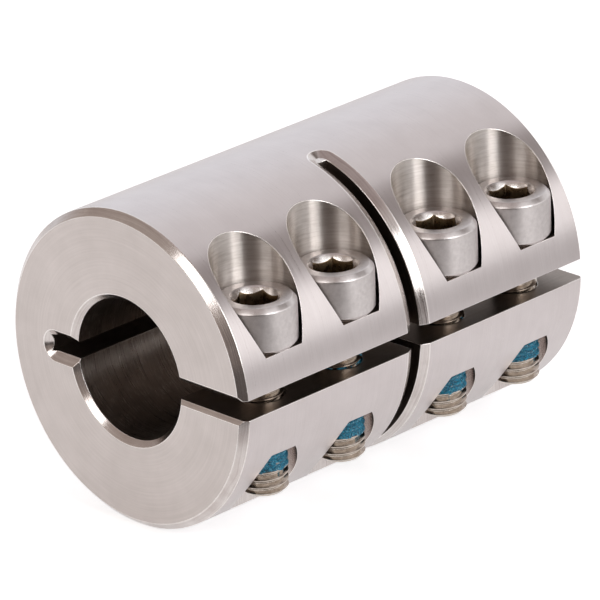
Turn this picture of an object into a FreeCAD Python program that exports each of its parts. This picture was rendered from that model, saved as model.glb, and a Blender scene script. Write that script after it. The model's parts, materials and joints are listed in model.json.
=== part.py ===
"""One-piece clamp coupling for two 15 mm shafts, 34 mm across and 50 mm long, with four M5 screws.

Frame: +Y runs along the shafts from the front face to the rear face, +X points at the clamp slit,
+Z is up along the screws towards their heads, and the origin is on the bore axis at mid-length.
"""
import FreeCAD, Part
import Sketcher
import os

DOC = FreeCAD.newDocument("clamp_coupling")
# How far, in mm, a cutting shape runs past the surface that it opens.
OVERRUN = 1
# A feature that changes the volume by less than this, in mm3, has done nothing.
LEAST_CHANGE = 1e-3
WHOLE_TURN = 360

# Driving dimensions in millimetres and degrees: alias, value, what it is.
DIMENSIONS = [
    ("body_diameter", 34, "outside of the body"),
    ("body_length", 50, "face to face"),
    ("bore_diameter", 15, "shaft bore"),
    ("rim_chamfer", 0.75, "outer edge of both faces"),
    ("bore_chamfer", 0.6, "mouth of the bore"),
    ("slit_width", 2.1, "clamp slit, open along the whole length"),
    ("slit_bevel", 0.45, "bevel of the slit where it meets the faces, across the slit"),
    ("slit_bevel_depth", 0.35, "the same bevel, below the face"),
    ("relief_width", 1.75, "relief slot in the bore, opposite the slit"),
    ("relief_reach", 11.25, "bore axis to the floor of the relief slot"),
    ("relief_bevel", 0.85, "bevel of the relief slot where it meets the faces, at 45 degrees"),
    ("relief_bevel_centre", 10.3, "bore axis to the centre of that bevel's round end"),
    ("parting_width", 1.3, "separation slot at mid-length"),
    ("parting_floor", 3.95, "bore axis to the flat floor of the separation slot"),
    ("parting_bevel", 0.95, "bevel of the separation slot, along the shaft"),
    ("parting_bevel_depth", 0.47, "the same bevel, below the surface"),
    ("screw_offset", 12.65, "bore axis to the screw axes"),
    ("inner_screw", 7.5, "mid-length to the inner screws"),
    ("outer_screw", 18.5, "mid-length to the outer screws"),
    ("seat_height", 4.5, "bore axis to the seats of the screw heads"),
    ("pocket_diameter", 9, "counterbore for a screw head"),
    ("clearance_diameter", 5.5, "screw hole in the upper jaw"),
    ("tapped_diameter", 5.1, "screw hole in the lower jaw, threads left out"),
    ("exit_diameter", 6.9, "relief bore where a screw hole leaves the lower jaw"),
    ("exit_depth", 6.55, "bore axis to the floor of the relief bore"),
    ("thread_diameter", 5, "M5 thread, over its crests"),
    ("screw_length", 16, "under the head to the tip"),
    ("tip_chamfer", 0.5, "end of the thread"),
    ("head_diameter", 8.3, "socket head"),
    ("head_height", 5, "socket head"),
    ("head_chamfer", 0.45, "top edge of the head"),
    ("head_foot", 0.4, "chamfer under the head"),
    ("socket_size", 4, "hexagon, across the flats"),
    ("socket_depth", 2.5, "hexagon socket"),
    ("socket_mouth", 5.4, "countersink at the mouth of the socket"),
    ("core_diameter", 4.4, "the thread where the patch fills it"),
    ("patch_clearance", 0.01, "patch to the thread that it lies in"),
    ("patch_top", -1.2, "height of the patch's upper end"),
    ("patch_bottom", -9.2, "height of the patch's lower end"),
]

# Rest angle of each screw's socket in degrees, about +Z from +X to a corner, front to rear.
SOCKET_ANGLES = [58, 18, 21, 25]
# Position of each screw along the shaft, from the front face to the rear.
SCREW_STATIONS = [
    "-Sizes.outer_screw",
    "-Sizes.inner_screw",
    "Sizes.inner_screw",
    "Sizes.outer_screw",
]


def make_sheet():
    """The spreadsheet of driving dimensions, one row each."""
    sheet = DOC.addObject("Spreadsheet::Sheet", "Sizes")
    for row, (alias, value, meaning) in enumerate(DIMENSIONS, start=1):
        sheet.set(f"A{row}", alias)
        sheet.set(f"B{row}", str(value))
        sheet.setAlias(f"B{row}", alias)
        sheet.set(f"C{row}", meaning)
    DOC.recompute()
    return sheet


SHEET = make_sheet()


def value_of(expression):
    """The number that an expression on the sheet stands for."""
    result = SHEET.evalExpression(expression)
    return float(getattr(result, "Value", result))


def new_sketch(body, name, plane, offset=None, turn=None):
    """A sketch on one of the body's own origin planes.

    offset is an expression for the distance along the plane's normal, and turn is one for the
    angle about the sketch's own vertical axis.
    """
    sketch = body.newObject("Sketcher::SketchObject", name)
    origin_plane = next(f for f in body.Origin.OriginFeatures if f.Role == plane)
    sketch.AttachmentSupport = [(origin_plane, "")]
    sketch.MapMode = "FlatFace"
    if offset:
        sketch.setExpression("AttachmentOffset.Base.z", offset)
    if turn:
        sketch.AttachmentOffset = FreeCAD.Placement(
            FreeCAD.Vector(), FreeCAD.Rotation(FreeCAD.Vector(0, 1, 0), value_of(turn))
        )
        sketch.setExpression("AttachmentOffset.Rotation.Angle", turn)
    return sketch


def hold_point(sketch, label, point, x, y):
    """Fix one sketch point, given as (geometry, vertex), at two expressions."""
    for axis, kind, expression in ((-2, "DistanceX", x), (-1, "DistanceY", y)):
        amount = value_of(expression)
        if amount == 0:
            sketch.addConstraint(Sketcher.Constraint("PointOnObject", *point, axis))
            continue
        index = sketch.addConstraint(Sketcher.Constraint(kind, -1, 1, *point, amount))
        name = f"{label}_{kind[-1].lower()}"
        sketch.renameConstraint(index, name)
        sketch.setExpression(f"Constraints.{name}", expression)


def draw_outline(sketch, corners):
    """A closed outline of straight lines through corners given as pairs of expressions."""
    places = [FreeCAD.Vector(value_of(x), value_of(y), 0) for x, y in corners]
    count = len(corners)
    for i in range(count):
        sketch.addGeometry(Part.LineSegment(places[i], places[(i + 1) % count]))
    for i in range(count):
        sketch.addConstraint(Sketcher.Constraint("Coincident", i, 2, (i + 1) % count, 1))
    for i, (x, y) in enumerate(corners):
        hold_point(sketch, f"corner{i}", (i, 1), x, y)
    return sketch


def draw_circles(sketch, diameter, centres):
    """Circles of one diameter at centres given as pairs of expressions."""
    for i, (x, y) in enumerate(centres):
        centre = FreeCAD.Vector(value_of(x), value_of(y), 0)
        radius = value_of(diameter) / 2
        sketch.addGeometry(Part.Circle(centre, FreeCAD.Vector(0, 0, 1), radius))
        index = sketch.addConstraint(Sketcher.Constraint("Diameter", i, 2 * radius))
        sketch.renameConstraint(index, f"diameter{i}")
        sketch.setExpression(f"Constraints.diameter{i}", diameter)
        hold_point(sketch, f"centre{i}", (i, 3), x, y)
    return sketch


def checked(body, feature, removes):
    """Recompute, and stop unless the feature took material away, or put it on, as it should."""
    before = feature.BaseFeature.Shape.Volume if feature.BaseFeature else 0.0
    DOC.recompute()
    change = feature.Shape.Volume - before
    if (change < 0) != removes or abs(change) < LEAST_CHANGE:
        raise RuntimeError(f"{body.Label}: {feature.Name} changed the volume by {change:.3f}")
    return feature


def revolve(body, name, sketch, kind="Revolution", angle=WHOLE_TURN, axis="V_Axis"):
    """Turn a sketch about one of its own axes, symmetrically when it isn't a whole turn."""
    feature = body.newObject(f"PartDesign::{kind}", name)
    feature.Profile = sketch
    feature.ReferenceAxis = (sketch, [axis])
    if angle == WHOLE_TURN:
        feature.Angle = angle
    else:
        feature.Midplane = True
        feature.setExpression("Angle", angle)
    return checked(body, feature, kind == "Groove")


def pocket(body, name, sketch, length=None, up=False, both_ways=False):
    """Cut a sketch straight down, or up, to a length or through everything."""
    feature = body.newObject("PartDesign::Pocket", name)
    feature.Profile = sketch
    feature.Reversed = up
    feature.SideType = "Symmetric" if both_ways else "One side"
    if length:
        feature.setExpression("Length", length)
    else:
        feature.Type = "ThroughAll"
    return checked(body, feature, True)


def loft_away(body, name, sketches):
    """Cut the straight-sided solid between two sketches."""
    feature = body.newObject("PartDesign::SubtractiveLoft", name)
    feature.Profile = sketches[0]
    feature.Sections = sketches[1:]
    feature.Ruled = True
    return checked(body, feature, True)


def mirror(body, name, originals, plane):
    """Repeat features on the other side of one of the body's own planes."""
    before = body.Tip.Shape.Volume
    feature = body.newObject("PartDesign::Mirrored", name)
    feature.Originals = originals
    feature.MirrorPlane = (next(f for f in body.Origin.OriginFeatures if f.Role == plane), [""])
    body.Tip = feature
    DOC.recompute()
    if feature.Shape.Volume > before - LEAST_CHANGE:
        raise RuntimeError(f"{body.Label}: {name} cut nothing")
    return feature


def rectangle(x_low, x_high, y_low, y_high):
    """The four corners of a rectangle, as pairs of expressions."""
    return [(x_low, y_low), (x_high, y_low), (x_high, y_high), (x_low, y_high)]


def make_blank(body):
    """The turned blank: a tube with its four edges chamfered."""
    outer, inner = "Sizes.body_diameter / 2", "Sizes.bore_diameter / 2"
    end = "Sizes.body_length / 2"
    half = [
        (inner, f"{end} - Sizes.bore_chamfer"),
        (f"{inner} + Sizes.bore_chamfer", end),
        (f"{outer} - Sizes.rim_chamfer", end),
        (outer, f"{end} - Sizes.rim_chamfer"),
    ]
    other_half = [(x, f"-({y})") for x, y in reversed(half)]
    sketch = new_sketch(body, "blank_section", "XY_Plane")
    revolve(body, "blank", draw_outline(sketch, half + other_half))


def cut_clamp_slit(body):
    """The slit that lets the jaws close, from the bore out through the +X side."""
    corners = rectangle("0", "Sizes.body_diameter", "-Sizes.slit_width / 2", "Sizes.slit_width / 2")
    sketch = draw_outline(new_sketch(body, "slit_outline", "XZ_Plane"), corners)
    pocket(body, "clamp_slit", sketch, length=f"Sizes.body_length + {2 * OVERRUN}", both_ways=True)


def cut_relief_slot(body):
    """The slot opposite the slit, which makes the body's back thin enough to flex."""
    corners = rectangle(
        "-Sizes.relief_reach", "0", "-Sizes.relief_width / 2", "Sizes.relief_width / 2"
    )
    sketch = draw_outline(new_sketch(body, "relief_outline", "XZ_Plane"), corners)
    pocket(body, "relief_slot", sketch, length=f"Sizes.body_length + {2 * OVERRUN}", both_ways=True)


def trough(body, name, x_range, half_width, bevel, depth):
    """A straight trough across the front face: it narrows by the bevel down to half_width."""
    # the XZ plane's normal is -Y, so these two heights are at the front face
    top = new_sketch(body, f"{name}_top", "XZ_Plane", offset="Sizes.body_length / 2")
    low = new_sketch(body, f"{name}_low", "XZ_Plane", offset=f"Sizes.body_length / 2 - {depth}")
    wide = f"{half_width} + {bevel}"
    outer = rectangle(*x_range, f"-({wide})", wide)
    inner = rectangle(*x_range, f"-({half_width})", half_width)
    return loft_away(body, name, [draw_outline(top, outer), draw_outline(low, inner)])


def bevel_faces(body):
    """The bevels along the edges of the slit and of the relief slot, on both faces."""
    slit = trough(
        body,
        "slit_bevel",
        ("0", "Sizes.body_diameter"),
        "Sizes.slit_width / 2",
        "Sizes.slit_bevel",
        "Sizes.slit_bevel_depth",
    )
    relief = trough(
        body,
        "relief_bevel",
        ("-Sizes.relief_bevel_centre", "0"),
        "Sizes.relief_width / 2",
        "Sizes.relief_bevel",
        "Sizes.relief_bevel",
    )
    # the round end is a 45 degree cone that points into the face
    face = "Sizes.body_length / 2"
    radius = "(Sizes.relief_width / 2 + Sizes.relief_bevel)"
    section = [
        (f"-({face} + {OVERRUN})", "0"),
        (f"-({face} + {OVERRUN})", f"{radius} + {OVERRUN}"),
        (f"-({face} - {radius})", "0"),
    ]
    sketch = new_sketch(body, "relief_cone", "YZ_Plane", offset="-Sizes.relief_bevel_centre")
    draw_outline(sketch, section)
    end = revolve(body, "relief_bevel_end", sketch, kind="Groove", axis="H_Axis")
    mirror(body, "rear_bevels", [slit, relief, end], "XZ_Plane")


def cut_separation_slot(body):
    """The slot at mid-length, with a flat floor, which lets each pair of screws clamp by itself."""
    corners = rectangle(
        "Sizes.parting_floor",
        "Sizes.body_diameter",
        "-Sizes.parting_width / 2",
        "Sizes.parting_width / 2",
    )
    sketch = draw_outline(new_sketch(body, "separation_outline", "XY_Plane"), corners)
    length = f"Sizes.body_diameter + {2 * OVERRUN}"
    pocket(body, "separation_slot", sketch, length=length, both_ways=True)


def bevel_separation_slot(body):
    """The wide shallow bevel around the mouth of the separation slot, round at both its ends."""
    root = "(Sizes.body_diameter / 2 - Sizes.parting_bevel_depth)"
    slope = "(Sizes.parting_bevel / Sizes.parting_bevel_depth)"
    half = "Sizes.parting_width / 2"
    high = f"(Sizes.body_diameter / 2 + {OVERRUN})"
    wide = f"({half} + ({high} - {root}) * {slope})"
    slot_end = f"acos(Sizes.parting_floor / {root})"
    section = [(root, f"-{half}"), (high, f"-{wide}"), (high, wide), (root, half)]
    sketch = draw_outline(new_sketch(body, "bevel_section", "XY_Plane"), section)
    revolve(body, "separation_bevel", sketch, kind="Groove", angle=f"2 * {slot_end}")
    # each end is a flat-tipped cone of the same slope, as wide at its tip as the slot it ends
    section = [(root, "0"), (high, "0"), (high, wide), (root, half)]
    sketch = new_sketch(body, "end_section", "XY_Plane", turn=f"-{slot_end}")
    draw_outline(sketch, section)
    upper = revolve(body, "upper_bevel_end", sketch, kind="Groove", axis="H_Axis")
    mirror(body, "lower_bevel_end", [upper], "XY_Plane")


def cut_screw_holes(body):
    """Counterbore and clearance hole in the upper jaw, tapped hole and relief bore in the lower."""
    centres = [("Sizes.screw_offset", station) for station in SCREW_STATIONS]

    def circles(name, diameter, height=None):
        sketch = new_sketch(body, name, "XY_Plane", offset=height)
        return draw_circles(sketch, diameter, centres)

    pocket(
        body,
        "head_pockets",
        circles("pocket_circles", "Sizes.pocket_diameter", "Sizes.seat_height"),
        up=True,
    )
    pocket(
        body,
        "clearance_holes",
        circles("clearance_circles", "Sizes.clearance_diameter"),
        length=f"Sizes.seat_height + {OVERRUN}",
        up=True,
    )
    pocket(body, "tapped_holes", circles("tapped_circles", "Sizes.tapped_diameter"))
    pocket(
        body,
        "exit_reliefs",
        circles("exit_circles", "Sizes.exit_diameter", "-Sizes.exit_depth"),
    )


def make_coupling_body():
    """The one-piece body."""
    body = DOC.addObject("PartDesign::Body", "CouplingBody")
    body.Label = "coupling_body"
    make_blank(body)
    cut_clamp_slit(body)
    cut_relief_slot(body)
    cut_separation_slot(body)
    bevel_separation_slot(body)
    bevel_faces(body)
    cut_screw_holes(body)
    return body


def place_at_station(body, station):
    """Stand a sub-part made about its own Z axis on a screw axis."""
    body.setExpression("Placement.Base.x", "Sizes.screw_offset")
    body.setExpression("Placement.Base.y", station)


def cut_socket(body, angle):
    """The hexagon socket, turned to the screw's rest angle, with its countersunk mouth."""
    top = "Sizes.seat_height + Sizes.head_height"
    corner = "Sizes.socket_size / 2 / cos(30 deg)"
    corners = [
        (
            f"{corner} * cos({angle + 60 * i} deg)",
            f"{corner} * sin({angle + 60 * i} deg)",
        )
        for i in range(6)
    ]
    sketch = draw_outline(new_sketch(body, "socket_outline", "XY_Plane", offset=top), corners)
    pocket(body, "socket", sketch, length="Sizes.socket_depth")
    # the mouth is a cone that meets the flats of the hexagon, at 45 degrees
    mouth = [
        ("0", top),
        ("Sizes.socket_mouth / 2", top),
        ("0", f"{top} - Sizes.socket_mouth / 2"),
    ]
    sketch = draw_outline(new_sketch(body, "mouth_section", "XZ_Plane"), mouth)
    revolve(body, "socket_mouth", sketch, kind="Groove")


def make_screw(number, station, angle):
    """One M5 socket head cap screw, its thread left as a plain shank with a recess for the patch."""
    body = DOC.addObject("PartDesign::Body", f"ClampScrew{number}")
    body.Label = f"clamp_screw_{number}"
    place_at_station(body, station)
    seat = "Sizes.seat_height"
    top = f"{seat} + Sizes.head_height"
    tip = f"{seat} - Sizes.screw_length"
    crest, core, head = (f"Sizes.{part}_diameter / 2" for part in ("thread", "core", "head"))
    section = [
        ("0", tip),
        (f"{crest} - Sizes.tip_chamfer", tip),
        (crest, f"{tip} + Sizes.tip_chamfer"),
        (crest, "Sizes.patch_bottom"),
        (core, "Sizes.patch_bottom"),
        (core, "Sizes.patch_top"),
        (crest, "Sizes.patch_top"),
        (crest, seat),
        (f"{head} - Sizes.head_foot", seat),
        (head, f"{seat} + Sizes.head_foot"),
        (head, f"{top} - Sizes.head_chamfer"),
        (f"{head} - Sizes.head_chamfer", top),
        ("0", top),
    ]
    sketch = draw_outline(new_sketch(body, "screw_section", "XZ_Plane"), section)
    revolve(body, "screw_blank", sketch)
    cut_socket(body, angle)
    return body


def make_patch(number, station):
    """The ring of thread-locking compound that fills one screw's thread."""
    body = DOC.addObject("PartDesign::Body", f"ThreadLockPatch{number}")
    body.Label = f"thread_lock_patch_{number}"
    place_at_station(body, station)
    corners = rectangle(
        "Sizes.core_diameter / 2 + Sizes.patch_clearance",
        "Sizes.thread_diameter / 2",
        "Sizes.patch_bottom + Sizes.patch_clearance",
        "Sizes.patch_top - Sizes.patch_clearance",
    )
    sketch = draw_outline(new_sketch(body, "patch_section", "XZ_Plane"), corners)
    revolve(body, "patch_ring", sketch)
    return body


def check_document(parts):
    """Stop if anything failed to compute or a sub-part isn't one valid solid."""
    for item in DOC.Objects:
        if "Invalid" in item.State or "Error" in item.State:
            raise RuntimeError(f"{item.Name} is {item.State}")
    for part in parts:
        shape = part.Shape
        if shape.isNull() or not shape.isValid() or len(shape.Solids) != 1:
            raise RuntimeError(f"{part.Label} isn't one valid solid")


def build():
    """Make every sub-part, check them, and write one STEP file for each."""
    parts = [make_coupling_body()]
    for number, (station, angle) in enumerate(zip(SCREW_STATIONS, SOCKET_ANGLES), start=1):
        parts.append(make_screw(number, station, angle))
        parts.append(make_patch(number, station))
    DOC.recompute()
    check_document(parts)
    os.makedirs("parts", exist_ok=True)
    for part in parts:
        part.Shape.exportStep(f"parts/{part.Label}.step")
        print(f"{part.Label}: {part.Shape.Volume:.1f} mm3")


build()
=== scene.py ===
"""One-piece clamp coupling: satin turned body, four M5 socket head screws with blue thread lock."""

import json
import math

import bmesh
import bpy
from mathutils import Matrix, Vector, noise


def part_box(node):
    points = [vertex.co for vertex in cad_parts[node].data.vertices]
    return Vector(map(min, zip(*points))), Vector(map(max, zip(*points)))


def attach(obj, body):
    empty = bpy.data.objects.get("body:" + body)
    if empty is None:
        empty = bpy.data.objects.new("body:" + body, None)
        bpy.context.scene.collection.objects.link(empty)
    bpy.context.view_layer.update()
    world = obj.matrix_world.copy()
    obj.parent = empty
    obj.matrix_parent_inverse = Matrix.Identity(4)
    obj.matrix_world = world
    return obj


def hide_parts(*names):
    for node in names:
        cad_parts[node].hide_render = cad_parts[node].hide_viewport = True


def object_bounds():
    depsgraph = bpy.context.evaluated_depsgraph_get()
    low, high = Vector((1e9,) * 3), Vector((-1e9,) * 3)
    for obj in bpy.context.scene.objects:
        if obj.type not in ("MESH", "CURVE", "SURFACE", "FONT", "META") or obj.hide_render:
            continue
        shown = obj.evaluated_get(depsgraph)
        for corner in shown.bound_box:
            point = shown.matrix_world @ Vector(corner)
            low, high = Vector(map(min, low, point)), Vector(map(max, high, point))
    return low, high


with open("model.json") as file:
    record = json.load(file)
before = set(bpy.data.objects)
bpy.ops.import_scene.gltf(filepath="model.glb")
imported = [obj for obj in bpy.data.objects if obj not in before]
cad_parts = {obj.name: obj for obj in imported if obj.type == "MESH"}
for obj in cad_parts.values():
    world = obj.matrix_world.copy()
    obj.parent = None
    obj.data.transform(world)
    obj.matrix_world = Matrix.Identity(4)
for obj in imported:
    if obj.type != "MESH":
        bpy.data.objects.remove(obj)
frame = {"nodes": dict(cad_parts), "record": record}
cad_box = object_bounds()

MM = 0.001
SCREWS = range(1, 5)
ALONG_SHAFT = (0.0, 1.0, 0.0)
UP = (0.0, 0.0, 1.0)


# ---------------------------------------------------------------- node helpers
class Graph:
    """Short-hand for building one node tree. Values may be numbers or sockets."""

    def __init__(self, tree):
        self.tree = tree
        tree.nodes.clear()

    def node(self, kind, inputs=None, **settings):
        made = self.tree.nodes.new(kind)
        for key, value in settings.items():
            setattr(made, key, value)
        for key, value in (inputs or {}).items():
            self.put(made.inputs[key], value)
        return made

    def put(self, socket, value):
        if isinstance(value, bpy.types.NodeSocket):
            self.tree.links.new(value, socket)
        else:
            socket.default_value = value

    def math(self, operation, *values):
        made = self.node("ShaderNodeMath", operation=operation)
        for socket, value in zip(made.inputs, values):
            self.put(socket, value)
        return made.outputs[0]

    def ramp(self, value, low, high, to_low=0.0, to_high=1.0, kind="LINEAR"):
        """Takes low..high to to_low..to_high, and stays level past both ends."""
        made = self.node("ShaderNodeMapRange", interpolation_type=kind)
        for socket, number in zip(made.inputs, (value, low, high, to_low, to_high)):
            self.put(socket, number)
        return made.outputs[0]

    def step(self, value, low, high):
        """0 below low, 1 above high, smooth between. Give low above high for the reverse."""
        if low < high:
            return self.ramp(value, low, high, kind="SMOOTHSTEP")
        return self.ramp(value, high, low, 1.0, 0.0, "SMOOTHSTEP")

    def mix(self, factor, a, b):
        """Numbers or number sockets."""
        return self.node("ShaderNodeMix", {0: factor, 2: a, 3: b}, data_type="FLOAT").outputs[0]

    def mix_color(self, factor, a, b):
        return self.node("ShaderNodeMix", {0: factor, 6: a, 7: b}, data_type="RGBA").outputs[2]

    def join(self, x=0.0, y=0.0, z=0.0):
        return self.node("ShaderNodeCombineXYZ", {"X": x, "Y": y, "Z": z}).outputs[0]

    def split(self, vector):
        made = self.node("ShaderNodeSeparateXYZ", {"Vector": vector})
        return made.outputs[0], made.outputs[1], made.outputs[2]

    def dot(self, vector, direction):
        made = self.node("ShaderNodeVectorMath", {0: vector, 1: direction}, operation="DOT_PRODUCT")
        return made.outputs["Value"]

    def noise(self, vector, scale=1.0, detail=2.0, roughness=0.5):
        made = self.node(
            "ShaderNodeTexNoise",
            {"Vector": vector, "Scale": scale, "Detail": detail, "Roughness": roughness},
        )
        return made.outputs[0]

    def place_mm(self):
        """Object coordinates in millimetres."""
        coords = self.node("ShaderNodeTexCoord").outputs["Object"]
        made = self.node("ShaderNodeVectorMath", {0: coords, "Scale": 1 / MM}, operation="SCALE")
        return made.outputs[0]


def color(r, g, b):
    return (r, g, b, 1.0)


def new_material(name):
    material = bpy.data.materials.new(name)
    material.use_nodes = True
    return material, Graph(material.node_tree)


def finish_material(g, base, roughness, height, relief, tangent=None, metallic=1.0, anisotropic=0.0):
    """relief is the depth in mm of a bump from height 0 to height 1."""
    bump = g.node("ShaderNodeBump", {"Strength": 1.0, "Distance": relief * MM, "Height": height})
    shader = g.node(
        "ShaderNodeBsdfPrincipled",
        {
            "Base Color": base, "Roughness": roughness, "Metallic": metallic,
            "Anisotropic": anisotropic, "Normal": bump.outputs[0],
        },
    )
    if tangent is not None:
        # a tangent only counts when it's linked
        linked = g.join(*tangent) if isinstance(tangent, tuple) else tangent
        g.put(shader.inputs["Tangent"], linked)
    g.node("ShaderNodeOutputMaterial", {"Surface": shader.outputs[0]})


# ---------------------------------------------------------------- finishes
def lathe_coords(g, place):
    """(radius, angle) of a point about the shaft axis."""
    x, _, z = g.split(place)
    square = g.math("ADD", g.math("MULTIPLY", x, x), g.math("MULTIPLY", z, z))
    return g.math("SQRT", square), g.math("ARCTAN2", z, x)


def rings_along(g, place):
    """Streaks round the shaft axis, one after another along it."""
    _, turn = lathe_coords(g, place)
    y = g.split(place)[1]
    wander = g.math("MULTIPLY", g.noise(place, 0.25, 2.0), 0.6)
    return g.join(g.math("MULTIPLY", g.math("ADD", y, wander), 7.0), g.math("MULTIPLY", turn, 0.9), 0.0)


def rings_outwards(g, place):
    """Streaks round the shaft axis, one outside another."""
    radius, turn = lathe_coords(g, place)
    return g.join(g.math("MULTIPLY", radius, 5.0), g.math("MULTIPLY", turn, 1.2), 3.0)


def rings_down(g, place):
    """Streaks round a screw axis, one above another."""
    x, y, z = g.split(place)
    return g.join(g.math("MULTIPLY", z, 4.5), g.math("MULTIPLY", y, 0.35), g.math("MULTIPLY", x, 0.35))


def fine_grit(g, place):
    """No direction: a deburred edge."""
    x, y, z = g.split(place)
    return g.join(g.math("MULTIPLY", x, 3.0), g.math("MULTIPLY", y, 3.0), g.math("MULTIPLY", z, 3.0))


def make_steel(name, streaks, tones, roughness, relief, tangent=None, stretch=0.0, scratch=0.0):
    """Machined steel: light and dark tone, least and most roughness, and tool marks' depth in mm.

    stretch lengthens highlights along the tangent, and scratch is the share of bright thin marks.
    """
    material, g = new_material(name)
    light, dark = tones
    place = g.place_mm()
    marks = g.noise(streaks(g, place), 1.0, 3.0, 0.6)
    cloud = g.noise(place, 0.35, 3.0, 0.55)
    grain = g.noise(place, 9.0, 2.0, 0.6)
    base = g.mix_color(g.ramp(g.mix(0.45, marks, cloud), 0.36, 0.64), dark, light)
    if scratch:
        thin = g.step(g.math("ABSOLUTE", g.math("SUBTRACT", marks, 0.5)), 0.018, 0.004)
        thin = g.math("MULTIPLY", thin, g.step(g.noise(place, 0.8, 2.0), 0.45, 0.6))
        base = g.mix_color(g.math("MULTIPLY", thin, scratch), base, color(0.80, 0.76, 0.72))
    rough = g.ramp(g.mix(0.4, marks, grain), 0.3, 0.7, *roughness)
    height = g.mix(0.25, marks, grain)
    if tangent == "radial":
        x, _, z = g.split(place)
        tangent = g.join(x, 0.0, z)
    finish_material(g, base, rough, height, relief, tangent, anisotropic=stretch)
    return material


def make_body_finishes():
    """In the order of the finish numbers OUTSIDE, END_FACE, BEVEL, HOLE, BORE, SHADED_FLAT and EDGE."""
    return [
        make_steel(
            "turned_outside", rings_along, (color(0.68, 0.63, 0.625), color(0.62, 0.57, 0.565)),
            (0.26, 0.36), 0.003, ALONG_SHAFT, 0.6,
        ),
        make_steel(
            "faced_end", rings_outwards, (color(0.67, 0.615, 0.59), color(0.59, 0.54, 0.515)),
            (0.28, 0.38), 0.004, "radial", 0.6,
        ),
        make_steel(
            "cut_bevel", rings_along, (color(0.76, 0.72, 0.70), color(0.54, 0.48, 0.46)),
            (0.10, 0.24), 0.012,
        ),
        make_steel(
            "milled_hole", rings_down, (color(0.76, 0.715, 0.68), color(0.54, 0.49, 0.45)),
            (0.34, 0.44), 0.005, UP, 1.0, 0.4,
        ),
        # dark tones: painted shade inside the bore
        make_steel(
            "turned_bore", rings_along, (color(0.52, 0.46, 0.42), color(0.34, 0.29, 0.26)),
            (0.24, 0.38), 0.014, scratch=1.0,
        ),
        # dark tones: painted shade on the walls of the slits and the relief slot, and on the screws' seats
        # and shoulders
        make_steel(
            "flats_painted_shade", rings_outwards, (color(0.30, 0.25, 0.22), color(0.20, 0.165, 0.14)),
            (0.28, 0.42), 0.010,
        ),
        # light tones: deburred edges, made lighter still as a painted highlight; the screws' countersinks
        # use it too
        make_steel(
            "broken_edge", fine_grit, (color(0.90, 0.87, 0.85), color(0.74, 0.69, 0.66)),
            (0.14, 0.30), 0.012,
        ),
    ]


def make_screw_steel(name, coarse, tangent=None, stretch=0.0):
    """Bright below the seat, satin above it. coarse is the roughness of the head at its roughest."""
    material, g = new_material(name)
    place = g.place_mm()
    x, y, z = g.split(place)
    cloud = g.noise(place, 2.2, 3.0, 0.6)
    grain = g.noise(place, 14.0, 2.0, 0.6)
    side_marks = g.noise(g.join(x, y, g.math("MULTIPLY", z, 0.12)), 5.0, 2.0)
    in_head = g.step(z, 4.3, 4.5)
    tone = g.ramp(cloud, 0.3, 0.7)
    head = g.mix_color(tone, color(0.60, 0.56, 0.55), color(0.70, 0.66, 0.65))
    thread = g.mix_color(tone, color(0.50, 0.44, 0.38), color(0.68, 0.62, 0.56))
    base = g.mix_color(in_head, thread, head)
    rough = g.mix(0.5, grain, side_marks)
    rough_thread = g.ramp(rough, 0.3, 0.7, 0.12, 0.22)
    rough_head = g.ramp(rough, 0.3, 0.7, coarse - 0.12, coarse)
    rough = g.mix(in_head, rough_thread, rough_head)
    finish_material(g, base, rough, g.mix(0.3, grain, cloud), 0.010, tangent, anisotropic=stretch)
    return material


def make_socket_steel():
    """Dark brown all through the socket: painted shade in the recess."""
    material, g = new_material("socket_steel")
    cloud = g.noise(g.place_mm(), 1.6, 2.0, 0.5)
    # painted shade: the dark base inside the socket
    base = g.mix_color(g.ramp(cloud, 0.35, 0.65), color(0.15, 0.105, 0.065), color(0.20, 0.15, 0.095))
    finish_material(g, base, g.ramp(cloud, 0.3, 0.7, 0.22, 0.34), cloud, 0.006)
    return material


def make_thread_lock():
    """Dried compound, darkest where its bump is low as painted shade in its folds, with small bright
    crystals.
    """
    material, g = new_material("thread_lock")
    place = g.place_mm()
    fine = g.noise(place, 5.0, 4.0, 0.7)
    coarse = g.noise(place, 1.8, 2.0, 0.5)
    crystal = g.step(g.noise(place, 11.0, 1.0), 0.64, 0.68)
    # the darkest tone follows the low parts of the bump: painted shade in the folds
    base = g.mix_color(g.ramp(fine, 0.42, 0.58), color(0.001, 0.03, 0.06), color(0.02, 0.33, 0.50))
    base = g.mix_color(g.ramp(coarse, 0.35, 0.7, 0.0, 0.5), base, color(0.004, 0.16, 0.30))
    base = g.mix_color(crystal, base, color(0.40, 0.68, 0.76))
    rough = g.mix(crystal, g.ramp(fine, 0.3, 0.7, 0.5, 0.3), 0.15)
    finish_material(g, base, rough, fine, 0.16, metallic=0.0)
    return material


# ---------------------------------------------------------------- mesh helpers
AROUND = 96


def even_turns(start=0.0):
    """Angles once round, evenly spaced."""
    return [start + math.tau * i / AROUND for i in range(AROUND)]


def ring(bm, centre, turns, radii, heights):
    """Points about an upright axis through centre, one for each angle. Sizes in mm."""
    return [
        bm.verts.new(Vector((centre[0] + r * math.cos(t), centre[1] + r * math.sin(t), z)) * MM)
        for t, r, z in zip(turns, radii, heights)
    ]


def bridge(bm, low, high, slot=0):
    """Quads between two rings of the same count."""
    count = len(low)
    for i in range(count):
        j = (i + 1) % count
        face = bm.faces.new((low[i], low[j], high[j], high[i]))
        face.material_index = slot


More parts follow.
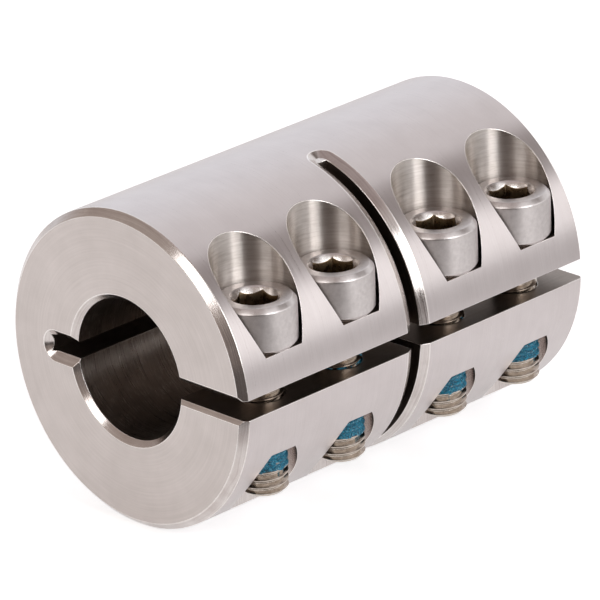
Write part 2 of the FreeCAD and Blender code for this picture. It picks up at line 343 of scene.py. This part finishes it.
def rounded(corners, steps):
    """A polyline with its inner corners rounded. Each corner is (r, z, rounding radius)."""
    line = [corners[0][:2]]
    for before, here, after in zip(corners, corners[1:], corners[2:]):
        point = Vector(here[:2])
        if here[2] <= 0:
            line.append(tuple(point))
            continue
        back = (Vector(before[:2]) - point).normalized()
        ahead = (Vector(after[:2]) - point).normalized()
        half = math.acos(max(-1.0, min(1.0, back.dot(ahead)))) / 2
        reach = here[2] / math.tan(half)
        start, end = point + back * reach, point + ahead * reach
        for i in range(steps + 1):
            t = i / steps
            line.append(tuple((1 - t) ** 2 * start + 2 * t * (1 - t) * point + t * t * end))
    line.append(corners[-1][:2])
    return line


def add_piece(bm, name, materials):
    """The mesh as an object of the scene. It uses up bm."""
    mesh = bpy.data.meshes.new(name)
    bm.to_mesh(mesh)
    bm.free()
    for material in materials:
        mesh.materials.append(material)
    piece = bpy.data.objects.new(name, mesh)
    bpy.context.scene.collection.objects.link(piece)
    return piece


def shade_smooth(piece):
    """Smooth, except over corners sharper than a rounding leaves."""
    mesh = piece.data
    mesh.polygons.foreach_set("use_smooth", [True] * len(mesh.polygons))
    mesh.set_sharp_from_angle(angle=math.radians(38))


# ---------------------------------------------------------------- the body
OUTSIDE, END_FACE, BEVEL, HOLE, BORE, SHADED_FLAT, EDGE = range(7)
EDGE_BREAK = 0.07  # mm
SHARP = math.radians(14)
SHAFT = (Vector((0, 0, 0)), Vector(ALONG_SHAFT))


def away_from(axis, point):
    """Unit vector from an axis, given as (a point on it, its direction), out to a point."""
    origin, direction = axis
    offset = point - origin
    return (offset - direction * offset.dot(direction)).normalized()


class Body:
    """The sizes in mm that tell one surface of the body from another."""

    hole_radii = (4.5, 2.75, 2.55, 3.45)  # counterbore, clearance, tapped hole, exit relief
    shoulder = 4.0  # seats and shoulders in the screw holes are further than this from mid-height
    parting_half = 1.6  # half the separation slot with its bevels
    parting_floor = 3.95  # from the shaft axis to the slot's flat floor
    parting_bevel = 0.47  # the bevel's depth
    relief_end = 10.3  # from the shaft axis to the centre of the relief slot's round end
    rim = 1.0  # the chamfers and bevels at the outer and bore edges stay within this
    close = 0.1  # most that a facet's radius is off the true one
    # cosines between a face's normal and a direction
    facing = 0.98
    chamfered = 0.6
    bevelled = 0.3
    across = 0.1

    def __init__(self, box, screw_boxes, record):
        self.end = box[1].y / MM
        self.radius = box[1].x / MM
        self.bore = next(m["dims"]["r_mm"] for m in record["mounts"])
        centres = [(low + high) / 2 / MM for low, high in screw_boxes]
        self.screws = [Vector((centre.x, centre.y, 0)) for centre in centres]
        self.parting_end = math.acos(self.parting_floor / (self.radius - self.parting_bevel))

    def screw_hole(self, normal, centre):
        """The finish and the axis of a face in a screw's holes, or None for any other face."""
        for screw in self.screws:
            axis = (screw, Vector(UP))
            reach = math.hypot(centre.x - screw.x, centre.y - screw.y)
            # seats and shoulders under the heads take the dark flat finish: painted shade
            if abs(normal.z) > self.facing and abs(centre.z) > self.shoulder and reach < self.hole_radii[0]:
                return SHADED_FLAT, None
            hollow = abs(normal.z) < self.across and away_from(axis, centre).dot(normal) < -self.facing
            if hollow and min(abs(reach - r) for r in self.hole_radii) < self.close:
                return (HOLE if centre.z > 0 else BEVEL), axis
        return None

    def turned_face(self, leaning, radius, centre):
        """The finish of a face that goes round the shaft axis, or None where it's a cut of its own."""
        if leaning < self.across and radius > self.radius - self.close:
            return OUTSIDE
        if leaning < self.across and abs(radius - self.bore) < self.close:
            return BORE
        on_rim = not self.bore + self.rim < radius < self.radius - self.rim
        if self.near_end(centre) and leaning > self.chamfered and on_rim:
            return BEVEL
        return None

    def near_end(self, centre):
        return abs(centre.y) > self.end - 2 * self.rim

    def surface(self, normal, centre):
        """The finish of a face, and the axis that it goes round, or None where it's flat."""
        in_hole = self.screw_hole(normal, centre)
        if in_hole:
            return in_hole
        leaning = abs(normal.y)
        if leaning > self.facing:
            # faces across the shaft away from the ends are slot walls with the dark flat finish: painted
            # shade
            return (END_FACE if abs(centre.y) > self.end - 0.01 else SHADED_FLAT), None
        radius = math.hypot(centre.x, centre.z)
        outward = away_from(SHAFT, centre).dot(normal)
        if abs(outward) > self.facing * math.sqrt(1 - leaning**2):
            finish = self.turned_face(leaning, radius, centre)
            if finish is not None:
                return finish, SHAFT
        if self.near_end(centre) and leaning > self.chamfered and centre.x < -self.relief_end:
            return BEVEL, (Vector((-self.relief_end, 0, 0)), Vector(ALONG_SHAFT))
        in_parting = abs(centre.y) < self.parting_half and radius > self.radius - self.rim
        if in_parting and outward > 0.8:
            turn = math.atan2(centre.z, centre.x)
            if abs(turn) < self.parting_end:
                return BEVEL, SHAFT
            turn = math.copysign(self.parting_end, turn)
            return BEVEL, (Vector((0, 0, 0)), Vector((math.cos(turn), 0, math.sin(turn))))
        # other flat faces, the walls of the slits, take the dark flat finish: painted shade
        return (BEVEL if leaning > self.bevelled else SHADED_FLAT), None


def ideal_normal(face_normal, axis, point):
    """The normal that the true surface has at a point of one of its flat facets."""
    if axis is None:
        return face_normal
    out = away_from(axis, point)
    along = axis[1] * face_normal.dot(axis[1])
    side = math.sqrt(max(0.0, 1 - along.length_squared))
    return along + out * math.copysign(side, out.dot(face_normal))


def break_edges(bm):
    """Round every convex edge of the body a little, and return the faces that this adds."""
    bmesh.ops.remove_doubles(bm, verts=bm.verts, dist=2e-4)
    bmesh.ops.dissolve_limit(bm, angle_limit=math.radians(0.2), verts=bm.verts[:], edges=bm.edges[:])
    sharp = [e for e in bm.edges if e.is_manifold and e.is_convex and e.calc_face_angle(0) > SHARP]
    made = bmesh.ops.bevel(
        bm, geom=sharp, offset=EDGE_BREAK, offset_type="OFFSET", segments=2, profile=0.5,
        affect="EDGES", clamp_overlap=False,
    )
    bm.normal_update()
    return set(made["faces"])


def make_body(finishes):
    """The body with all its edges broken, and with the shading of true cylinders and cones."""
    boxes = [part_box(f"clamp_screw_{number}") for number in SCREWS]
    sizes = Body(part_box("coupling_body"), boxes, frame["record"])
    bm = bmesh.new()
    bm.from_mesh(frame["nodes"]["coupling_body"].data)
    bmesh.ops.scale(bm, vec=(1 / MM,) * 3, verts=bm.verts)
    strips = break_edges(bm)

    surfaces, around = {}, {}
    for face in bm.faces:
        face.smooth = True
        if face in strips:
            face.material_index = EDGE
            continue
        face.material_index, axis = sizes.surface(face.normal, face.calc_center_median())
        surfaces[face] = axis
        for vert in face.verts:
            around.setdefault(vert, []).append(ideal_normal(face.normal, axis, vert.co))
    normals = []
    for face in bm.faces:
        for vert in face.verts:
            if face not in strips:
                normals.append(ideal_normal(face.normal, surfaces[face], vert.co))
            elif vert in around:
                normals.append(max(around[vert], key=face.normal.dot))
            else:
                normals.append(sum((f.normal for f in vert.link_faces), Vector()).normalized())

    bmesh.ops.scale(bm, vec=(MM,) * 3, verts=bm.verts)
    piece = add_piece(bm, "clamp_body", finishes)
    piece.data.normals_split_custom_set(normals)
    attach(piece, "hub")
    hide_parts("coupling_body")


# ---------------------------------------------------------------- the screws
# sizes in mm, and the slope of the countersink
PITCH = 0.8
CREST = 2.5
ROOT = 2.03
TIP_RADIUS = 2.0
HEAD_HEIGHT = 5.0
SOCKET_DEPTH = 2.5
ACROSS_FLATS = 4.0
SOCKET_CORNER = 2.31
MOUTH = 2.66
MOUTH_SLOPE = 1.0
# the materials of a screw, by slot
PLAIN, SOCKET, HEAD_SIDE, COUNTERSINK = range(4)
# one pitch of the thread: share of the pitch, and how far out from root to crest
THREAD = (
    (0.0, 1.0), (0.125, 1.0), (0.2, 0.84), (0.47, 0.12), (0.5, 0.03),
    (0.5625, 0.0), (0.625, 0.03), (0.655, 0.12), (0.925, 0.84),
)


def thread_radius(z, turn):
    """Radius of the thread's surface at a height in mm and an angle in radians."""
    share = (z / PITCH - turn / math.tau) % 1.0
    points = THREAD + ((1.0, 1.0),)
    for (a, low), (b, high) in zip(points, points[1:]):
        if share <= b:
            return ROOT + (CREST - ROOT) * (low + (high - low) * (share - a) / (b - a))
    return CREST


def add_thread(bm, centre, tip, seat):
    """The threaded shank as one helical surface from the tip to the head, closed at the tip."""
    per_pitch = len(THREAD)
    first = math.floor(tip / PITCH) - 2
    pitches = math.ceil((seat - tip) / PITCH) + 4
    turns = even_turns() + [math.tau]
    rows = []
    for k in range(pitches * per_pitch + 1):
        share, out = THREAD[k % per_pitch]
        start = (first + k // per_pitch + share) * PITCH
        heights = [max(tip, min(seat, start + PITCH * i / AROUND)) for i in range(AROUND + 1)]
        # the tip has a chamfer of 45 degrees
        radii = [min(ROOT + (CREST - ROOT) * out, TIP_RADIUS + z - tip) for z in heights]
        rows.append(ring(bm, centre, turns, radii, heights))
    for low, high in zip(rows, rows[1:]):
        for i in range(AROUND):
            bm.faces.new((low[i], low[i + 1], high[i + 1], high[i]))
    outer = ring(bm, centre, turns[:-1], [TIP_RADIUS] * AROUND, [tip] * AROUND)
    inner = ring(bm, centre, turns[:-1], [0.8 * TIP_RADIUS] * AROUND, [tip + 0.08] * AROUND)
    bridge(bm, outer, inner)
    bm.faces.new(inner)


def hexagon(turn, across, corner, start):
    """Radius of a hexagon with its corners cut short, at an angle, one corner at start."""
    part = (turn - start) % (math.pi / 3) - math.pi / 6
    return min(across / 2 / math.cos(part), corner)


def add_head(bm, centre, seat, top, radius, corner_angle):
    """Head with rounded chamfers, a countersunk mouth and a hexagon socket."""
    socket_floor = top - SOCKET_DEPTH
    outline = rounded(
        [
            (CREST, seat, 0),
            (radius - 0.4, seat, 0.1),
            (radius, seat + 0.45, 0.3),
            (radius, top - 0.5, 0.35),
            (radius - 0.45, top, 0.12),
            (MOUTH, top, 0.05),
            (MOUTH - 0.12, top - 0.12 * MOUTH_SLOPE, 0),
        ],
        steps=4,
    )
    turns = even_turns(corner_angle)

    def circle(r, z):
        return ring(bm, centre, turns, [r] * AROUND, [z] * AROUND)

    def six_sided(grow):
        return [hexagon(t, ACROSS_FLATS + 2 * grow, SOCKET_CORNER + grow, corner_angle) for t in turns]

    def below_mouth(grow, drop):
        """Where a hexagon meets the countersink, or lies below it by a drop."""
        radii = six_sided(grow)
        return ring(bm, centre, turns, radii, [top - (MOUTH - r) * MOUTH_SLOPE - drop for r in radii])

    rings = [circle(r, z) for r, z in outline]
    for low, high in zip(rings, rings[1:]):
        upright = high[0].co.z - low[0].co.z > (top - seat) / 2 * MM
        bridge(bm, low, high, HEAD_SIDE if upright else PLAIN)
    edge = below_mouth(0.04, 0.0)
    bridge(bm, rings[-1], edge, COUNTERSINK)
    socket = [
        edge,
        below_mouth(0.0, 0.05),
        ring(bm, centre, turns, six_sided(0.0), [socket_floor + 0.12] * AROUND),
        ring(bm, centre, turns, six_sided(-0.12), [socket_floor] * AROUND),
        circle(0.3, socket_floor - 0.35),
    ]
    for high, low in zip(socket, socket[1:]):
        bridge(bm, high, low, SOCKET)
    bm.faces.new(socket[-1]).material_index = SOCKET


def make_screw(number, corner_angle, materials):
    low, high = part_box(f"clamp_screw_{number}")
    centre = (low + high) / 2 / MM
    tip, top = low.z / MM, high.z / MM
    seat = top - HEAD_HEIGHT
    head_radius = (high.x - low.x) / 2 / MM
    same_point = 1e-7
    bm = bmesh.new()
    add_thread(bm, centre, tip, seat)
    add_head(bm, centre, seat, top, head_radius, math.radians(corner_angle))
    bmesh.ops.remove_doubles(bm, verts=bm.verts, dist=same_point)
    bmesh.ops.dissolve_degenerate(bm, edges=bm.edges, dist=same_point)
    bmesh.ops.recalc_face_normals(bm, faces=bm.faces)
    piece = add_piece(bm, f"socket_screw_{number}", materials)
    shade_smooth(piece)
    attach(piece, f"screw_{number}")
    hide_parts(f"clamp_screw_{number}")


# ---------------------------------------------------------------- the thread lock
PATCH_ROWS = 90
PATCH_INNER = 2.05
# dried drips that climb above the patch: (angle in degrees, half width in degrees, height in mm)
DRIPS = {2: ((46, 15, 1.8), (-85, 40, 0.55)), 3: ((40, 12, 0.9),)}
# how far the rest of the upper end stays below the mouth of the tapped hole, in mm
DROPS = {1: 0.9, 2: 0.0, 3: 0.7, 4: 0.9}


def make_patch(number, material):
    """Dried compound over the thread: it follows the thread loosely, is rough, and has ragged ends."""
    low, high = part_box(f"thread_lock_patch_{number}")
    centre = (low + high) / 2 / MM
    bottom, top = low.z / MM, high.z / MM
    turns = even_turns()
    bm = bmesh.new()

    def rough(turn, z, seed, scale):
        return noise.noise(Vector((math.cos(turn) * 2.5, math.sin(turn) * 2.5, z + seed)) * scale)

    def height(turn, share):
        ragged = 0.28 * rough(turn, 0.0, 40 + number * 9, 1.1)
        ragged += 0.15 * rough(turn, 0.0, 80 + number * 9, 3.0)
        z = bottom + (top - bottom) * share + max(0.0, ragged + 0.12) * (1 - share)
        z -= (DROPS[number] + 1.6 * max(0.0, rough(turn, 0.0, 20 + number * 5, 1.3))) * share**3
        for angle, width, climb in DRIPS.get(number, ()):
            off = (math.degrees(turn) - angle + 180) % 360 - 180
            z += climb * math.exp(-((off / width) ** 2)) * share**3
        return z

    def radius(turn, z, thickness):
        thread = thread_radius(z, turn)
        r = 0.75 * thread + 0.25 * CREST + 0.035
        r += 0.05 * rough(turn, z, number * 7, 2.6) + 0.025 * rough(turn, z, number * 7 + 3, 7.0)
        return PATCH_INNER + (max(r, thread + 0.012) - PATCH_INNER) * thickness

    rings, inside = [], []
    for k in range(PATCH_ROWS + 1):
        thickness = math.sqrt(min(1.0, k / 4, (PATCH_ROWS - k) / 3))
        heights = [height(t, k / PATCH_ROWS) for t in turns]
        radii = [radius(t, z, thickness) for t, z in zip(turns, heights)]
        rings.append(ring(bm, centre, turns, radii, heights))
        if k in (0, PATCH_ROWS):
            inside.append(ring(bm, centre, turns, [PATCH_INNER - 0.05] * AROUND, heights))
    for a, b in zip(rings, rings[1:]):
        bridge(bm, a, b)
    bridge(bm, inside[0], inside[1])
    bridge(bm, rings[0], inside[0])
    bridge(bm, rings[-1], inside[1])
    bmesh.ops.recalc_face_normals(bm, faces=bm.faces)
    piece = add_piece(bm, f"dried_thread_lock_{number}", [material])
    shade_smooth(piece)
    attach(piece, f"patch_{number}")
    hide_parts(f"thread_lock_patch_{number}")


# ---------------------------------------------------------------- studio
LAMP_DISTANCE = 0.9


def sky_direction(azimuth, elevation):
    """Unit vector: azimuth in degrees from -Y towards +X, elevation above the floor."""
    azimuth, elevation = math.radians(azimuth), math.radians(elevation)
    level = math.cos(elevation)
    return Vector((math.sin(azimuth) * level, -math.cos(azimuth) * level, math.sin(elevation)))


def make_camera():
    """The viewpoint: turned about Z from the front, raised, and rolled slightly."""
    azimuth, elevation, roll = 45.83, 22.24, math.radians(-2.48)
    distance = 0.63437
    aside, above = -0.048 * MM, -0.208 * MM
    back = sky_direction(azimuth, elevation)
    level = sky_direction(azimuth + 90, 0)
    upright = back.cross(level)
    right = math.cos(roll) * level + math.sin(roll) * upright
    up = -math.sin(roll) * level + math.cos(roll) * upright
    camera = bpy.data.cameras.new("camera")
    camera.lens = 369.0
    camera.sensor_width = 36.0
    camera.clip_start = 0.01
    camera.clip_end = 20.0
    view = bpy.data.objects.new("camera", camera)
    turn = Matrix((right, up, back)).transposed().to_4x4()
    view.matrix_world = Matrix.Translation(back * distance + right * aside + up * above) @ turn
    bpy.context.scene.collection.objects.link(view)
    bpy.context.scene.camera = view


def make_lamp(name, azimuth, elevation, size, glow):
    """A soft box that faces the object: its width and height in metres, and its radiance."""
    data = bpy.data.lights.new(name, "AREA")
    data.shape = "RECTANGLE"
    data.size, data.size_y = size
    data.energy = glow * math.pi * size[0] * size[1]
    lamp = bpy.data.objects.new(name, data)
    away = sky_direction(azimuth, elevation)
    lamp.location = away * LAMP_DISTANCE
    lamp.rotation_euler = away.to_track_quat("Z", "Y").to_euler()
    bpy.context.scene.collection.objects.link(lamp)


def make_world():
    """A white tent behind with a gap high up, a dim warm room in front, and a dark camera side."""
    world = bpy.data.worlds.new("studio")
    world.use_nodes = True
    g = Graph(world.node_tree)
    toward = g.node("ShaderNodeTexCoord").outputs["Generated"]

    def lay_over(glow, azimuth, elevation, low, high, patch):
        """A round patch of colour about a direction. It starts and is full at these cosines."""
        near = g.step(g.dot(toward, sky_direction(azimuth, elevation)), low, high)
        return g.mix_color(near, glow, patch)

    room = color(0.43, 0.365, 0.33)
    glow = lay_over(room, 160, 0, -0.15, 0.25, color(0.97, 0.955, 0.965))
    glow = lay_over(glow, -128, 8, 0.70, 0.95, color(1.01, 1.03, 1.08))
    glow = lay_over(glow, 133, 17, 0.93, 0.985, color(1.30, 1.28, 1.27))
    glow = lay_over(glow, 150, 42, 0.93, 0.985, color(0.20, 0.165, 0.15))
    in_ceiling = g.step(g.split(toward)[2], 0.80, 0.93)
    glow = g.mix_color(in_ceiling, glow, color(0.42, 0.355, 0.345))
    glow = lay_over(glow, 66, 15, 0.80, 0.95, color(0.13, 0.115, 0.11))
    backdrop = g.node("ShaderNodeBackground", {"Color": glow, "Strength": 1.0})
    g.node("ShaderNodeOutputWorld", {"Surface": backdrop.outputs[0]})
    bpy.context.scene.world = world


def make_floor(height):
    """White paper that keeps the shadow.

    In reflections it has painted shade: dark on the camera side, and dimmer far out past the slit.
    """
    half_width = 3.0
    bm = bmesh.new()
    bmesh.ops.create_grid(bm, x_segments=1, y_segments=1, size=half_width)
    material, g = new_material("floor")
    floor = add_piece(bm, "floor", [material])
    floor.location.z = height

    place = g.node("ShaderNodeTexCoord").outputs["Object"]
    reach = g.node("ShaderNodeVectorMath", {0: place}, operation="LENGTH").outputs["Value"]

    def beyond(azimuth, low, high, near, far):
        """1 past a distance in metres on one side of the object. low and high are cosines."""
        facing = g.math("DIVIDE", g.dot(place, sky_direction(azimuth, 0)), reach)
        return g.math("MULTIPLY", g.step(facing, low, high), g.step(reach, near, far))

    dark = beyond(50, 0.74, 0.88, 0.035, 0.07)
    dim = g.math("MULTIPLY", beyond(140, 0.60, 0.90, 0.045, 0.10), 0.4)
    paper = g.node("ShaderNodeBsdfDiffuse", {"Color": color(0.79, 0.80, 0.81)})
    seen = g.node("ShaderNodeLightPath").outputs
    mirrored = g.math("MAXIMUM", seen["Is Glossy Ray"], seen["Is Transmission Ray"])
    shown = g.math("MAXIMUM", seen["Is Camera Ray"], g.math("MULTIPLY", mirrored, 0.6))
    lift = g.node(
        "ShaderNodeEmission", {"Color": color(1, 1, 1), "Strength": g.math("MULTIPLY", shown, 0.60)}
    )
    white = g.node("ShaderNodeAddShader", {0: paper.outputs[0], 1: lift.outputs[0]})
    # painted shade: a dark colour that the floor shows only in reflections
    shade_in_reflections = g.node("ShaderNodeEmission", {"Color": color(0.12, 0.105, 0.10), "Strength": 1.0})
    shaded = g.node(
        "ShaderNodeMixShader",
        {
            0: g.math("MULTIPLY", mirrored, g.math("MAXIMUM", dark, dim)),
            1: white.outputs[0],
            2: shade_in_reflections.outputs[0],
        },
    )
    g.node("ShaderNodeOutputMaterial", {"Surface": shaded.outputs[0]})


def make_studio(floor_height):
    make_world()
    make_lamp("left_box", 14, 38, (0.37, 0.42), 2.6)
    make_lamp("right_box", 89, 25, (0.40, 0.60), 3.6)
    make_floor(floor_height)
    bpy.context.scene.view_settings.view_transform = "Standard"


# ---------------------------------------------------------------- assembly
finishes = make_body_finishes()
make_body(finishes)
screw_steel = make_screw_steel("screw_steel", 0.38)
head_side = make_screw_steel("turned_head", 0.52, UP, 0.4)
# the countersinks take the light edge tones: painted highlight on the mouth
screw_materials = [screw_steel, make_socket_steel(), head_side, finishes[EDGE]]
thread_lock = make_thread_lock()
for number, corner_angle in zip(SCREWS, (58, 18, 21, 25)):
    make_screw(number, corner_angle, screw_materials)
    make_patch(number, thread_lock)

make_camera()
make_studio(cad_box[0][2])
